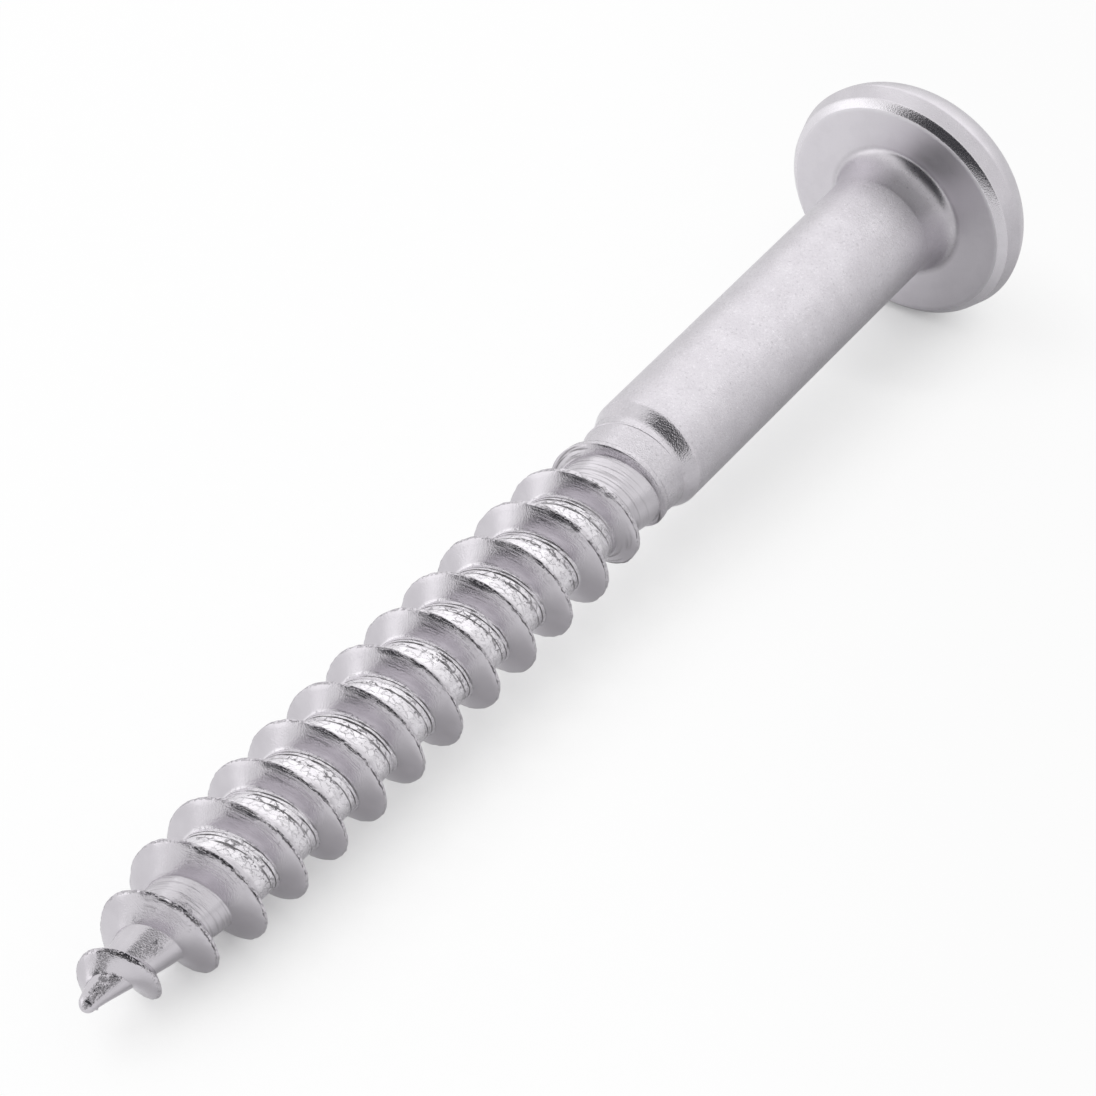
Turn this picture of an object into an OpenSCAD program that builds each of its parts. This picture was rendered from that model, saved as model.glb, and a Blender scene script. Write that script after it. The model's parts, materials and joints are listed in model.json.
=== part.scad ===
// Round head wood screw, rolled from one piece of steel.
// It is drawn along its own axis, from the point at 0 up to the head, and then laid down
// as it comes to rest: on the rim of the head and on one crest of the thread near the point.

/* [Head] */
// Diameter of the head
head_d = 12; // [9:0.1:16]
// Height of the head above its bearing face
head_h = 4.4; // [3.6:0.1:6]
// Height of the rim, from the bearing face up to the widest circle of the head
rim_h = 1.1; // [0.7:0.05:1.4]
// Width of the rim, from the bearing face out to the widest circle
rim_w = 0.6; // [0.45:0.05:1]
// Width of the slanted band that leads from the bearing face into the rim
bevel_w = 0.38; // [0.2:0.02:0.44]
// Height of that slanted band
bevel_h = 0.35; // [0.2:0.05:0.6]
// How full the shoulder of the dome is: low is pointed, high is flat on top
dome_fullness = 0.82; // [0.5:0.02:0.96]
// Slope at which the dome leaves the rim, measured from the axis
dome_lean = 10; // [5:1:20]
// Width of the flare between the shank and the bearing face
flare_w = 0.6; // [0.2:0.05:1]
// Length of that flare along the shank
flare_l = 1.8; // [0.5:0.1:3]

/* [Drive recess] */
// Width across the cross recess, at the top of the dome
recess_d = 6.4; // [4.8:0.1:7.6]
// Width across the cross recess at its floor
recess_floor_d = 2.8; // [2:0.1:4]
// Depth of the cross recess below the top of the dome
recess_depth = 2.9; // [1.5:0.1:3.4]
// Width of each wing of the cross
wing_w = 1.1; // [0.7:0.05:1.5]
// Diameter of the round hollow where the wings meet
recess_core_d = 2.2; // [1.5:0.1:3]

/* [Shank] */
// Length from the point to the bearing face
screw_l = 60; // [45:0.5:90]
// Diameter of the plain shank
shank_d = 5.5; // [4.8:0.05:6]
// Length of the plain shank
shank_l = 20.6; // [8:0.1:25]
// Length of the cone that leads from the run-out up to the plain shank
shoulder_l = 0.75; // [0.3:0.05:2]
// Height of that cone, from the run-out up to the plain shank
shoulder_h = 0.33; // [0.1:0.01:0.6]

/* [Thread] */
// Outer diameter of the thread
thread_d = 6; // [5:0.05:6]
// Diameter of the core between the turns
core_d = 4; // [3:0.05:4.6]
// Distance from one turn to the next
pitch = 2.66; // [2.2:0.02:3.6]
// Width of the flat on the crest
crest_w = 0.14; // [0.05:0.01:0.3]
// Slope of each flank, measured from square to the axis
flank_angle = 30; // [20:1:35]
// Size of the fillet between flank and core
root_fillet = 0.12; // [0.05:0.01:0.25]
// Length of the run-out, where the thread fades below the shoulder
runout_l = 6.6; // [3:0.1:10]
// Angle about the axis at which the thread starts, from straight down
start_angle = 90; // [0:9:351]

/* [Point] */
// Radius of the blunt end of the point
point_r = 0.3; // [0.1:0.02:0.5]
// Length over which the core tapers to the point
core_taper_l = 11; // [6:0.5:16]
// Length over which the crests taper to the point
crest_taper_l = 9; // [5:0.5:14]
// Radius that the tapering crests aim for at the point
crest_point_r = 0.8; // [0.5:0.05:1.2]
// Distance from the point at which the first turn starts to rise
thread_start = 0.3; // [0.1:0.05:1]
// Length over which the first turn rises to its height
thread_rise_l = 1.2; // [0.5:0.1:3]
// Length at the point over which the turns close up
closing_l = 1; // [0.5:0.1:2]

/* [Hidden] */

// Facets of the thread around one turn
TURN_STEPS = 40;
// Roundness of the turned forms
ROUND_STEPS = 96;
// Steps along the curve of the flare under the head
FLARE_STEPS = 15;
// Room by which cutting shapes run past what they cut
CUT_ROOM = 1;
// Depth by which the end of the thread is buried in the shoulder
BURY = 0.1;
// Step that keeps the thread's end inside the shoulder's face
SEAT_STEP = 0.02;
// Share of the run-out after which the core starts to rise
CORE_RISE_SHARE = 0.4;
// Lift of the fillet's inner corner, as a share of the thread's height
FILLET_LIFT = 0.1;
// Least share of their full width that the flanks keep where the thread fades
LEAST_FLANK = 0.2;

head_r = head_d / 2;
shank_r = shank_d / 2;
thread_r = thread_d / 2;
core_r = core_d / 2;
neck_r = shank_r - shoulder_h;
shank_start = screw_l - shank_l;
shoulder_start = shank_start - shoulder_l;
runout_start = shoulder_start - runout_l;

// The dome is an arc over the top that runs smoothly into a tighter arc at its shoulder.
rim_z = screw_l + rim_h;
dome_corner_r = dome_fullness * (head_h - rim_h);
dome_corner_pos = [head_r - dome_corner_r * cos(dome_lean), rim_z - dome_corner_r * sin(dome_lean)];
dome_h = screw_l + head_h - dome_corner_pos[1];
dome_crown_r = (dome_corner_pos[0] ^ 2 + dome_h ^ 2 - dome_corner_r ^ 2) / (2 * (dome_h - dome_corner_r));
dome_crown_pos = [0, screw_l + head_h - dome_crown_r];

// One pitch of the thread in section: side of the crest, shares of the flank's and of the fillet's width,
// and lift, where 0 is the core and 1 the crest.
half_crest = crest_w / 2;
flank_w = tan(flank_angle) * (thread_r - core_r);
PROFILE = [
    [-1, 1, 1, 0],
    [-1, 1 - FILLET_LIFT, 0, FILLET_LIFT],
    [-1, 0, 0, 1],
    [1, 0, 0, 1],
    [1, 1 - FILLET_LIFT, 0, FILLET_LIFT],
    [1, 1, 1, 0]
];
PROFILE_POINTS = len(PROFILE);
// The ribbon of turns starts one pitch before the point and ends one turn inside the shank.
LAST_STEP = ceil(TURN_STEPS * ((shoulder_start + BURY) / pitch + 1));

// A rise from 0 to 1 that starts and ends level.
function smooth(t) = let (c = max(0, min(1, t))) c * c * (3 - 2 * c);
// A taper that reaches its full value after a length, and is level there.
function taper(from, to, s, length) = from + (to - from) * sin(90 * min(1, s / length));
// Place along the axis of a point on the ribbon: the turns before the point are closed up into it.
function along(h) = h >= closing_l ? h : closing_l * exp((h - closing_l) / closing_l);
// Share of the run-out that is passed at a place along the axis.
function runout(s) = (s - runout_start) / runout_l;
// Rounding of the blunt end.
function blunt(s) = sqrt(1 - (1 - min(1, s / point_r)) ^ 2);
function core_radius(s) =
    blunt(s) * taper(point_r, core_r, s, core_taper_l)
    + (neck_r - core_r) * smooth((runout(s) - CORE_RISE_SHARE) / (1 - CORE_RISE_SHARE));
function crest_radius(s) =
    taper(crest_point_r, thread_r, s, crest_taper_l)
    + (neck_r - thread_r) * smooth(runout(s));
function thread_rise(s) = smooth((s - thread_start) / thread_rise_l);
function thread_height(s) = thread_rise(s) * max(0, crest_radius(s) - core_radius(s));

// Point of the ribbon at an angular step and a place in the section.
function ribbon_angle(step) = start_angle + 360 * step / TURN_STEPS;
function crest_place(step) = pitch * (step / TURN_STEPS - 0.5);
function flank_share(step) = max(LEAST_FLANK, thread_height(along(crest_place(step))) / (thread_r - core_r));
function spot_offset(step, spot) =
    let (p = PROFILE[spot]) p[0] * (half_crest + (flank_w * p[1] + root_fillet * p[2]) * flank_share(step));
function ribbon_place(step, spot) = along(crest_place(step) + spot_offset(step, spot));
function ribbon_radius(s, spot) = core_radius(s) + PROFILE[spot][3] * thread_height(s);
function ribbon_point(step, spot) =
    let (s = ribbon_place(step, spot), r = ribbon_radius(s, spot), a = ribbon_angle(step))
    [r * cos(a), r * sin(a), s];

// Number of a point of the ribbon: the last spot of a turn is the first spot of the next turn.
function point_at(step, spot) =
    spot == PROFILE_POINTS ? point_at(step + TURN_STEPS, 0)
    : step <= LAST_STEP ? step * PROFILE_POINTS + spot
    : (LAST_STEP + 1) * PROFILE_POINTS + step - LAST_STEP - 1;

// Slope of the axis at which a crest point and the widest circle of the head both touch the ground.
function rest_slope(point) = atan2(head_r - point[0], rim_z - point[2]);
CREST_SPOTS = [for (spot = [0 : PROFILE_POINTS - 1]) if (PROFILE[spot][3] == 1) spot];
tilt = min([for (step = [0 : LAST_STEP]) for (spot = CREST_SPOTS) rest_slope(ribbon_point(step, spot))]);
rest_z = head_r * cos(tilt) - rim_z * sin(tilt);
rest_x = -(screw_l + head_h) * cos(tilt) / 2;

// The thread, with its core, from the point to just inside the shoulder.
module thread() {
    ring = [for (step = [0 : LAST_STEP]) for (spot = [0 : PROFILE_POINTS - 1]) ribbon_point(step, spot)];
    last_turn = [for (step = [LAST_STEP + 1 : LAST_STEP + TURN_STEPS]) ribbon_point(step, 0)];
    apex = [0, 0, 0];
    inner_end = [0, 0, along(pitch * (LAST_STEP / TURN_STEPS))];
    points = concat(ring, last_turn, [apex, inner_end]);
    apex_at = len(points) - 2;
    inner_at = len(points) - 1;
    sides = [
        for (step = [0 : LAST_STEP - 1])
            for (spot = [0 : PROFILE_POINTS - 1])
                let (
                    a = point_at(step, spot),
                    b = point_at(step + 1, spot),
                    c = point_at(step + 1, spot + 1),
                    d = point_at(step, spot + 1)
                )
                each [[a, c, b], [a, d, c]]
    ];
    point_fan = [for (step = [0 : TURN_STEPS - 1]) [apex_at, point_at(step, 0), point_at(step + 1, 0)]];
    point_step = [for (spot = [0 : PROFILE_POINTS - 1]) [apex_at, point_at(0, spot + 1), point_at(0, spot)]];
    end_fan = [
        for (step = [LAST_STEP : LAST_STEP + TURN_STEPS - 1])
            [inner_at, point_at(step + 1, 0), point_at(step, 0)]
    ];
    end_step = [
        for (spot = [0 : PROFILE_POINTS - 1])
            [inner_at, point_at(LAST_STEP, spot), point_at(LAST_STEP, spot + 1)]
    ];
    polyhedron(points, concat(sides, point_fan, point_step, end_fan, end_step));
}

// Half section of the head: flat bearing face, slanted band, leaning rim and dome.
module head_section() {
    face_edge_r = head_r - rim_w;
    reach = dome_corner_pos - dome_crown_pos;
    intersection() {
        translate(dome_corner_pos) circle(dome_corner_r);
        translate([0, rim_z]) square([head_d, head_d]);
    }
    intersection() {
        translate(dome_crown_pos) circle(dome_crown_r);
        translate([0, screw_l]) square([head_r, head_d]);
        polygon([dome_crown_pos, dome_crown_pos + 2 * reach, dome_crown_pos + [0, 2 * norm(reach) + head_d]]);
    }
    polygon([
        [0, screw_l],
        [face_edge_r, screw_l],
        [face_edge_r + bevel_w, screw_l + bevel_h],
        [head_r, rim_z],
        [0, rim_z]
    ]);
}

// Half section of the shoulder and the plain shank, with the flare under the head.
module shank_section() {
    flare = [
        for (step = [0 : FLARE_STEPS])
            let (a = 90 * step / FLARE_STEPS)
            [shank_r + flare_w * (1 - cos(a)), screw_l - flare_l * (1 - sin(a))]
    ];
    polygon(concat(
        [
            [0, shoulder_start],
            [neck_r + SEAT_STEP, shoulder_start],
            [shank_r, shank_start]
        ],
        flare,
        [[0, screw_l]]
    ));
}

// A round hollow below the top of the dome, wider at the top, that runs on past the dome.
module tapered_hollow(floor_d, top_d) {
    reach = recess_depth + CUT_ROOM;
    cylinder(d1 = floor_d, d2 = floor_d + (top_d - floor_d) * reach / recess_depth, h = reach);
}

// The cross recess: four wings that narrow toward the floor, and a round hollow in the middle.
module drive_recess() {
    translate([0, 0, screw_l + head_h - recess_depth]) {
        intersection() {
            tapered_hollow(recess_floor_d, recess_d);
            union()
                for (turn = [45, 135])
                    rotate(turn)
                        translate([-head_d / 2, -wing_w / 2, 0])
                            cube([head_d, wing_w, recess_depth + CUT_ROOM]);
        }
        tapered_hollow(wing_w, recess_core_d);
    }
}

// The whole screw, laid down on the rim of its head and on its thread.
module screw() {
    color("silver")
        translate([rest_x, 0, rest_z])
            rotate([0, 90 - tilt, 0])
                union() {
                    thread();
                    difference() {
                        rotate_extrude($fn = ROUND_STEPS) {
                            head_section($fn = ROUND_STEPS);
                            shank_section($fn = ROUND_STEPS);
                        }
                        drive_recess($fn = ROUND_STEPS);
                    }
                }
}

screw();
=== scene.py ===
"""Dresses the round head wood screw: a finer rolled thread, marked steel with some painted shade and
highlight, a pale floor with a painted shadow band, and soft light.
"""

import json
import math

import bpy
import numpy as np
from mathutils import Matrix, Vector


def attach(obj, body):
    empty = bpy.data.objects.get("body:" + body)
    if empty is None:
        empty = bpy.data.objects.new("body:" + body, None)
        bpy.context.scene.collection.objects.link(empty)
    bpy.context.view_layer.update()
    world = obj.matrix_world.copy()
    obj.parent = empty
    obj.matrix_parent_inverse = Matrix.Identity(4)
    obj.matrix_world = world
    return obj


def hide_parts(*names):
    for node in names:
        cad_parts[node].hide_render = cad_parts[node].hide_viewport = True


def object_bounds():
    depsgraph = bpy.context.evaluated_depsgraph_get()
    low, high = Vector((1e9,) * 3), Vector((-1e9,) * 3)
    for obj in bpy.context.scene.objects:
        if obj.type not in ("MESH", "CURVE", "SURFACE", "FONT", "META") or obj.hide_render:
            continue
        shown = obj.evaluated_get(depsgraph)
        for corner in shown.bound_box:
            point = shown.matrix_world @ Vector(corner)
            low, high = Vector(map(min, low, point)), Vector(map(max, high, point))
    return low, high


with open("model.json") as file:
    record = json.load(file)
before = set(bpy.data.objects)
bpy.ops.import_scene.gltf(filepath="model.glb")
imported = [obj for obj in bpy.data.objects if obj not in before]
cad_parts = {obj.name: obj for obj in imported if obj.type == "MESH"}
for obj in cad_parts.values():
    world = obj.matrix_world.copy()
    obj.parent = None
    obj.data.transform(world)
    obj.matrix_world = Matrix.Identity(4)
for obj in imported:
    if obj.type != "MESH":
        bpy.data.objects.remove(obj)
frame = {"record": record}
cad_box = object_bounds()

# Sizes of the screw in millimetres, the same as in the part's source
MM = 0.001
SCREW_L = 60.0
HEAD_R = 6.0
HEAD_H = 4.4
RIM_H = 1.1
RIM_W = 0.6
BEVEL_W = 0.38
BEVEL_H = 0.35
DOME_FULLNESS = 0.82
DOME_LEAN = math.radians(10)
FLARE_W = 0.6
FLARE_L = 1.8
RECESS_R = 3.2
RECESS_FLOOR_R = 1.4
RECESS_DEPTH = 2.9
WING_HALF = 0.55
RECESS_CORE_R = 1.1
SHANK_R = 2.75
SHANK_L = 20.6
SHOULDER_L = 0.75
SHOULDER_H = 0.33
THREAD_R = 3.0
CORE_R = 2.0
PITCH = 2.66
HALF_CREST = 0.07
FLANK_W = 0.577
LEAST_FLANK = 0.2
RUNOUT_L = 6.6
START_ANGLE = 90.0
POINT_R = 0.3
CORE_TAPER_L = 11.0
CREST_TAPER_L = 9.0
CREST_POINT_R = 0.8
THREAD_START = 0.3
THREAD_RISE_L = 1.2
CLOSING_L = 1.0
CORE_RISE_SHARE = 0.4

NECK_R = SHANK_R - SHOULDER_H
SHANK_START = SCREW_L - SHANK_L
SHOULDER_START = SHANK_START - SHOULDER_L
RUNOUT_START = SHOULDER_START - RUNOUT_L
RIM_S = SCREW_L + RIM_H
DOME_TOP = SCREW_L + HEAD_H
DOME_CORNER_R = DOME_FULLNESS * (HEAD_H - RIM_H)
DOME_CORNER_X = HEAD_R - DOME_CORNER_R * math.cos(DOME_LEAN)
DOME_CORNER_S = RIM_S - DOME_CORNER_R * math.sin(DOME_LEAN)
DOME_H = DOME_TOP - DOME_CORNER_S
DOME_CROWN_R = (DOME_CORNER_X ** 2 + DOME_H ** 2 - DOME_CORNER_R ** 2) / (2 * (DOME_H - DOME_CORNER_R))

# Steps of the mesh around one turn, turns closed up into the point, and turns from a root to its crest
STEPS = 144
TURN = 2 * math.pi
QUARTER = math.pi / 2
LEAD_TURNS = 1
CREST_LAG = 0.5
SEED = 7

# Noise
TABLE_SIZE = 512
noise_table = np.random.default_rng(SEED).random((TABLE_SIZE, TABLE_SIZE))


def ease(t):
    """A rise from 0 to 1 that starts and ends level."""
    c = np.clip(t, 0.0, 1.0)
    return c * c * (3 - 2 * c)


def window(value, start, end, blend):
    """1 between a start and an end, with a soft edge outside each."""
    return ease((value - start + blend) / blend) * ease((end + blend - value) / blend)


def noise(x, y):
    """Smooth noise from -1 to 1, with marks about 1 across."""
    x, y = np.broadcast_arrays(np.asarray(x, float), np.asarray(y, float))
    left = np.floor(x).astype(int)
    low = np.floor(y).astype(int)
    fx = ease(x - left)
    fy = ease(y - low)
    a = noise_table[left % TABLE_SIZE, low % TABLE_SIZE]
    b = noise_table[(left + 1) % TABLE_SIZE, low % TABLE_SIZE]
    c = noise_table[left % TABLE_SIZE, (low + 1) % TABLE_SIZE]
    d = noise_table[(left + 1) % TABLE_SIZE, (low + 1) % TABLE_SIZE]
    lower = a + (b - a) * fx
    upper = c + (d - c) * fx
    return 2 * (lower + (upper - lower) * fy) - 1


# Form of the thread, as in the part's source
def taper(start, end, s, length):
    """A taper that reaches its full value after a length, and is level there."""
    return start + (end - start) * np.sin(QUARTER * np.minimum(1.0, s / length))


def along(h):
    """Place along the axis: the turns before the point are closed up into it."""
    closed = CLOSING_L * np.exp((np.minimum(h, CLOSING_L) - CLOSING_L) / CLOSING_L)
    return np.where(h >= CLOSING_L, h, closed)


def runout(s):
    """Share of the run-out that is passed at a place."""
    return (s - RUNOUT_START) / RUNOUT_L


def core_radius(s):
    blunt = np.sqrt(1 - (1 - np.minimum(1.0, s / POINT_R)) ** 2)
    rise = ease((runout(s) - CORE_RISE_SHARE) / (1 - CORE_RISE_SHARE))
    return blunt * taper(POINT_R, CORE_R, s, CORE_TAPER_L) + (NECK_R - CORE_R) * rise


def crest_radius(s):
    return taper(CREST_POINT_R, THREAD_R, s, CREST_TAPER_L) + (NECK_R - THREAD_R) * ease(runout(s))


def thread_height(s):
    rise = ease((s - THREAD_START) / THREAD_RISE_L)
    return rise * np.maximum(0.0, crest_radius(s) - core_radius(s))


# Rows of the thread's mesh across one pitch, from the middle of one root to the next one.
# A row is a side of the crest, a part of the section and a share of that part, outward from the crest.
CREST, FLANK, ROOT = range(3)
SEAM_ROW = (-1, CREST, 0.35)
ROWS = (
    [(-1, ROOT, share) for share in (1.0, 0.89, 0.78, 0.67, 0.56, 0.45, 0.34, 0.23, 0.12, 0.0)]
    + [(-1, FLANK, share) for share in (0.9, 0.75, 0.5, 0.25, 0.08)]
    + [(-1, CREST, 1.0), SEAM_ROW, (1, CREST, 0.3), (1, CREST, 1.0)]
    + [(1, FLANK, share) for share in (0.15, 0.4, 0.7, 0.9)]
    + [(1, ROOT, share) for share in (0.0, 0.15, 0.4, 0.65, 0.85)]
)
ROW_COUNT = len(ROWS)
row_side = np.array([row[0] for row in ROWS])
row_part = np.array([row[1] for row in ROWS])
row_share = np.array([row[2] for row in ROWS])

# Marks of the rolling, in millimetres
ROOT_FROM = 8.4
ROOT_TO = 33.0
ROOT_BLEND = 1.2
SMOOTH_SHARE = 0.3
LAP_LEAN = 0.14
FLAKE_HEIGHT = 0.006
CREST_WEAR = 0.06
SEAM_DEPTH = 0.05
WIDE_CREST = 0.06
WIDE_FROM = 29.5
WIDE_BLEND = 2.5
# The bruised point: a fold on the camera's side of the core, a bent nub and a wavy first crest
CAMERA_SIDE = 214.0
FOLD_FROM = -30.0
FOLD_TO = 16.0
FOLD_BLEND = 14.0
FOLD_END = 2.6
FOLD_FADE = 0.5
FIRST_TURN_END = 4.2
FIRST_TURN_BLEND = 0.6
LIP_SHARE = 0.08
LIP_ANGLES = (-45.0, 4.0)
SMEAR_ANGLES = (-46.0, -34.0)
LIP_BLEND = 8.0
FOLD_HEIGHT = 0.022
BEND = 0.1
BEND_L = 1.3
BEND_ANGLE = math.radians(CAMERA_SIDE + 90)
WAVE_HEIGHT = 0.07
WAVE_END = 4.2
WAVE_BLEND = 1.5
# Noise of the marks: marks in a turn, marks in a millimetre across the thread, and where the noise starts
FLAKE_NOISE = (40.0, 4.5, 40.0)
FINE_FLAKE_NOISE = (95.0, 9.0, 80.0)
FINE_FLAKE_SHARE = 0.5
WEAR_NOISE = (60.0, 1.0, 5.5)
FINE_WEAR_NOISE = (130.0, 1.0, 9.5)
WEAR_LEVEL = 0.4
WEAR_SHARE = 0.5
FINE_WEAR_SHARE = 0.35
SEAM_NOISE = (34.0, 0.0, 2.5)
SEAM_FROM = -0.55
SEAM_BLEND = 0.6
FOLD_NOISE = (46.0, 5.0, 0.0)
FINE_FOLD_NOISE = (110.0, 11.0, 0.0)
FINE_FOLD_SHARE = 0.6
WAVE_NOISE = (9.0, 0.0, 21.5)

last_step = round(SHOULDER_START * STEPS / PITCH)
first_step = -LEAD_TURNS * STEPS
grid_steps = last_step - first_step
crease_s = PITCH * last_step / STEPS

# Thread
steps = np.arange(first_step, last_step + STEPS + 1)
ribbon_count = len(steps)
turns = (steps / STEPS)[:, None]
crest_heights = PITCH * (turns - CREST_LAG)
crest_places = along(crest_heights)
flank_share = np.maximum(LEAST_FLANK, thread_height(crest_places) / (THREAD_R - CORE_R))
half_crest = HALF_CREST + WIDE_CREST * ease((crest_places - WIDE_FROM) / WIDE_BLEND)
root_edge = half_crest + FLANK_W * flank_share
reach = np.select(
    [row_part == CREST, row_part == FLANK],
    [half_crest * row_share, half_crest + FLANK_W * flank_share * row_share],
    root_edge + (PITCH / 2 - root_edge) * row_share,
)
lift = np.select([row_part == CREST, row_part == FLANK], [np.ones(ROW_COUNT), 1 - row_share], 0.0)
across = row_side * reach
heights = crest_heights + across
# The last turn is pressed together toward the crease under the shoulder
below = PITCH * (turns - 1)
room = np.clip((crease_s - below) / PITCH, 0.0, 1.0)
heights = np.where(room < 1, below + (across + PITCH / 2) * room, heights)
spots = heights - crest_heights
places = along(heights)
height = thread_height(places)
angles = math.radians(START_ANGLE) + TURN * turns + 0 * spots
side_angle = (np.degrees(angles) - CAMERA_SIDE + 180) % 360 - 180


def thread_noise(kind, place=0.0):
    """Noise on the thread, by the turn and by a place across it."""
    per_turn, per_mm, start = kind
    return noise(turns * per_turn, place * per_mm + start)


full_turn = np.clip(height, 0.0, 1.0)
root_row = ((row_part == ROOT) & ((row_side < 0) | (row_share > SMOOTH_SHARE))).astype(float)
zone = window(places, ROOT_FROM, ROOT_TO, ROOT_BLEND)
flakes = thread_noise(FLAKE_NOISE, across) + FINE_FLAKE_SHARE * thread_noise(FINE_FLAKE_NOISE, across)
crest_row = (row_part == CREST).astype(float)
wear = WEAR_LEVEL + WEAR_SHARE * thread_noise(WEAR_NOISE, row_side)
wear = wear + FINE_WEAR_SHARE * thread_noise(FINE_WEAR_NOISE, row_side)
seam_row = np.array([float(row == SEAM_ROW) for row in ROWS])
seam = seam_row * ease((thread_noise(SEAM_NOISE) - SEAM_FROM) / SEAM_BLEND) * full_turn
first_turn = ease((FIRST_TURN_END - places) / FIRST_TURN_BLEND)
lip_row = (row_side < 0) & ((row_part == CREST) | (row_share == LIP_SHARE) & (row_part == FLANK))
lip = lip_row * window(side_angle, *LIP_ANGLES, LIP_BLEND) * ease(places / POINT_R - 1)
seam = seam * (1 - first_turn) + lip * first_turn
fold = window(side_angle, FOLD_FROM, FOLD_TO, FOLD_BLEND) * ease((FOLD_END - places) / FOLD_FADE)
smear = window(side_angle, *SMEAR_ANGLES, LIP_BLEND) * first_turn * (row_side < 0) * (row_part == FLANK)
fold = np.maximum(fold * (row_part == ROOT), smear)
fold_marks = thread_noise(FOLD_NOISE, places) + FINE_FOLD_SHARE * thread_noise(FINE_FOLD_NOISE, places)
wave = thread_noise(WAVE_NOISE) * ease((WAVE_END - places) / WAVE_BLEND)

radius = core_radius(places) + lift * height
radius = radius + FLAKE_HEIGHT * flakes * zone * root_row
radius = radius - CREST_WEAR * np.clip(wear, 0.0, 1.0) * crest_row * full_turn
radius = radius - SEAM_DEPTH * seam
radius = radius + FOLD_HEIGHT * fold_marks * fold * ease(places / POINT_R)
radius = radius + WAVE_HEIGHT * wave * lift * full_turn
radius = np.maximum(radius, 0.0)


def bend(places):
    """How far the bent nub leans to the side at a place."""
    return BEND * np.clip(1 - places / BEND_L, 0.0, 1.0) ** 2


ribbon = np.stack([
    radius * np.cos(angles) + bend(places) * math.cos(BEND_ANGLE),
    radius * np.sin(angles) + bend(places) * math.sin(BEND_ANGLE),
    places,
], -1)


def ribbon_at(step, row):
    """Number of a vertex of the thread: the last row of a turn is the first row of the next turn."""
    if row == ROW_COUNT:
        return (step + STEPS) * ROW_COUNT
    return step * ROW_COUNT + row


# Turned forms: shoulder, shank, head and recess, as rings of radius and place for each angle.
# The last value of a ring is its finish: grain height in millimetres, roughness, paleness and sandiness.
GRAIN, ROUGHNESS, PALENESS, SANDINESS = range(4)
THREAD_FINISH = (0.007, 0.18, 0.15, 0.0)
SHANK_FINISH = (0.018, 0.3, 0.15, 1.0)
SHOULDER_FINISH = (0.016, 0.05, 0.15, 0.8)
NECK_FINISH = (0.006, 0.3, 0.15, 0.3)
FACE_FINISH = (0.006, 0.42, 1.0, 0.1)
RIM_FINISH = (0.012, 0.22, 1.0, 0.2)
DOME_FINISH = (0.006, 0.3, 0.2, 0.2)
FLANK_PALENESS = 0.22
ring_angles = math.radians(START_ANGLE) + TURN * np.arange(last_step, last_step + STEPS) / STEPS
rings = []


def ring(r, s, finish):
    rings.append((np.broadcast_to(r, ring_angles.shape), np.broadcast_to(s, ring_angles.shape), finish))


SHOULDER_SHARES = (0.2, 0.4, 0.6, 0.8, 0.92)
SHOULDER_ROUND = 0.1
SHOULDER_DROP = 0.006
for share in SHOULDER_SHARES:
    ring(NECK_R + SHOULDER_H * share, crease_s + SHOULDER_L * share, SHOULDER_FINISH)
ring(SHANK_R - SHOULDER_DROP, SHANK_START, SHOULDER_FINISH)
ring(SHANK_R, SHANK_START + SHOULDER_ROUND, SHANK_FINISH)
SHANK_RINGS = 36
for s in np.linspace(SHANK_START + 2 * SHOULDER_ROUND, SCREW_L - FLARE_L, SHANK_RINGS):
    ring(SHANK_R, s, SHANK_FINISH)
FLARE_RINGS = 21
for t in np.linspace(0, QUARTER, FLARE_RINGS)[1:]:
    ring(SHANK_R + FLARE_W * (1 - math.cos(t)), SCREW_L - FLARE_L * (1 - math.sin(t)), NECK_FINISH)
FACE_RINGS = 13
FACE_EDGE_R = HEAD_R - RIM_W
FACE_LINE_R = 4.35
FACE_LINE_W = 0.2
FACE_LINE_DEPTH = 0.012
for r in np.linspace(SHANK_R + FLARE_W, FACE_EDGE_R, FACE_RINGS)[1:]:
    ring(r, SCREW_L + FACE_LINE_DEPTH * ease(1 - abs(r - FACE_LINE_R) / FACE_LINE_W), FACE_FINISH)
# The rim: a slanted band beside the face, a little full, then an outer band that leans out to the dome
BAND_RINGS = 9
BAND_BULGE = 0.018
BAND_LENGTH = math.hypot(BEVEL_W, BEVEL_H)
for t in np.linspace(0, 1, BAND_RINGS)[1:]:
    bulge = BAND_BULGE * 4 * t * (1 - t) / BAND_LENGTH
    ring(FACE_EDGE_R + BEVEL_W * t + BEVEL_H * bulge, SCREW_L + BEVEL_H * t - BEVEL_W * bulge, RIM_FINISH)
OUTER_SHARES = (0.04, 0.2, 0.4, 0.6, 0.8, 0.92, 1.0)
for t in OUTER_SHARES:
    r = FACE_EDGE_R + BEVEL_W + (RIM_W - BEVEL_W) * t
    ring(r, SCREW_L + BEVEL_H + (RIM_H - BEVEL_H) * t, DOME_FINISH)
CORNER_RINGS = 18
corner_end = math.atan2(DOME_CORNER_S - (DOME_TOP - DOME_CROWN_R), DOME_CORNER_X)
for t in np.linspace(DOME_LEAN, corner_end, CORNER_RINGS)[1:]:
    r = DOME_CORNER_X + DOME_CORNER_R * math.cos(t)
    ring(r, DOME_CORNER_S + DOME_CORNER_R * math.sin(t), DOME_FINISH)


def dome_drop(r):
    """How far the dome has fallen below its top at a radius."""
    return DOME_CROWN_R - np.sqrt(DOME_CROWN_R ** 2 - r ** 2)


LEAST_SINE = 0.01
wing_angle = np.abs((ring_angles % QUARTER) - QUARTER / 2)


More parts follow.
